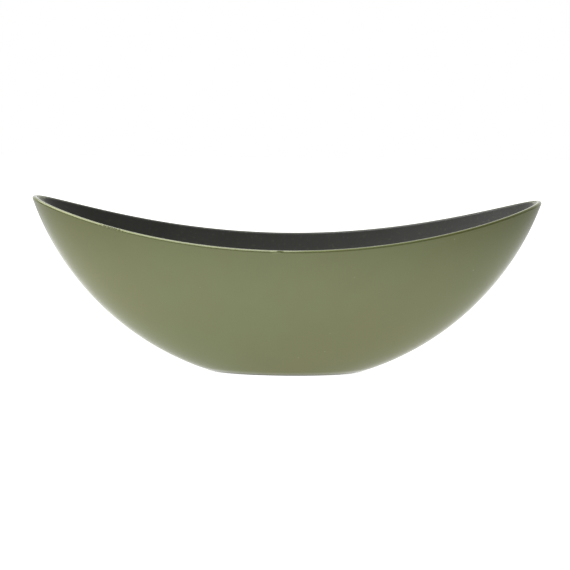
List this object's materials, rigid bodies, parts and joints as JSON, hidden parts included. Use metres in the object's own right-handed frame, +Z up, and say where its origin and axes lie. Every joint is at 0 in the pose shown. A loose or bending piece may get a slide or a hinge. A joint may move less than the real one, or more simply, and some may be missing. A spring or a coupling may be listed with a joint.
{
  "type": "boat-shaped planter bowl",
  "caption": "Long boat-shaped bowl with up-swept pointed tips and a flat oval foot, dark inside, lacquered green outside; holds plants or decoration.",
  "frame": {"origin": "centre of the flat oval foot, on the surface that the bowl stands on", "axes": "+X along the length towards one tip, +Y across the bowl, +Z up out of its mouth"},
  "size_m": [0.3902, 0.12, 0.1355],
  "materials": {
    "moulded_shell": "satin charcoal moulded plastic, bare inside the bowl and underneath",
    "green_lacquer": "glossy sprayed sage-green lacquer with a slightly uneven edge along the rim"
  },
  "bodies": {
    "root": {"bowl_shell": "moulded_shell", "lacquer_coat": "green_lacquer"}
  },
  "joints": []
}
